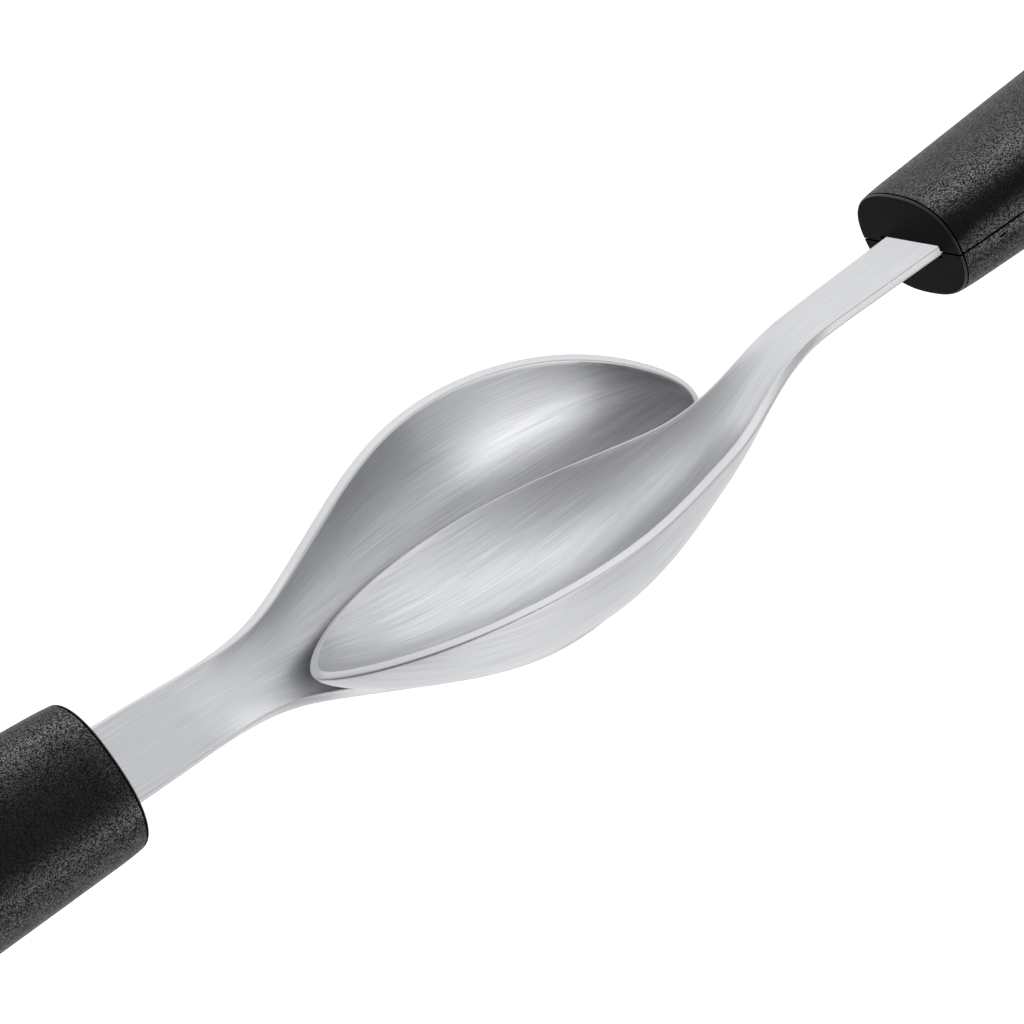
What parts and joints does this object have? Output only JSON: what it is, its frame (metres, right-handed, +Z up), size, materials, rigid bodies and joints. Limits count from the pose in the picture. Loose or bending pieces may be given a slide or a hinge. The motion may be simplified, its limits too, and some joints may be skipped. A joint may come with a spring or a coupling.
{
  "type": "quenelle spoons",
  "caption": "Nested quenelle spoons with pointed, deep pressed-steel bowls on narrow necks and black moulded half-shell handles, used against each other to shape soft food into ovals.",
  "frame": {"origin": "under the middle of the pair's box, at the level of the lower bowl's lowest point", "axes": "+Z up, square to the lower bowl's rim; +X along the pair, from the lower spoon's handle to the upper spoon's handle; the upper spoon's back faces -Y"},
  "size_m": [0.3534, 0.0398, 0.0411],
  "materials": {
    "steel": "satin, brushed lengthwise, with a ground rim",
    "grip": "fine-grained matt black",
    "dowel": "plain"
  },
  "bodies": {
    "lower_spoon": {"lower_spoon_blade": "steel", "lower_spoon_handle_top_shell": "grip", "lower_spoon_handle_bottom_shell": "grip", "lower_spoon_front_dowel": "dowel", "lower_spoon_rear_dowel": "dowel"},
    "upper_spoon": {"upper_spoon_blade": "steel", "upper_spoon_handle_top_shell": "grip", "upper_spoon_handle_bottom_shell": "grip", "upper_spoon_front_dowel": "dowel", "upper_spoon_rear_dowel": "dowel"}
  },
  "joints": [
    {"name": "upper_spoon_lift", "type": "slide", "parent": "lower_spoon", "child": "upper_spoon", "axis": [0, 0, 1], "range_m": [0, 0.08]}
  ]
}
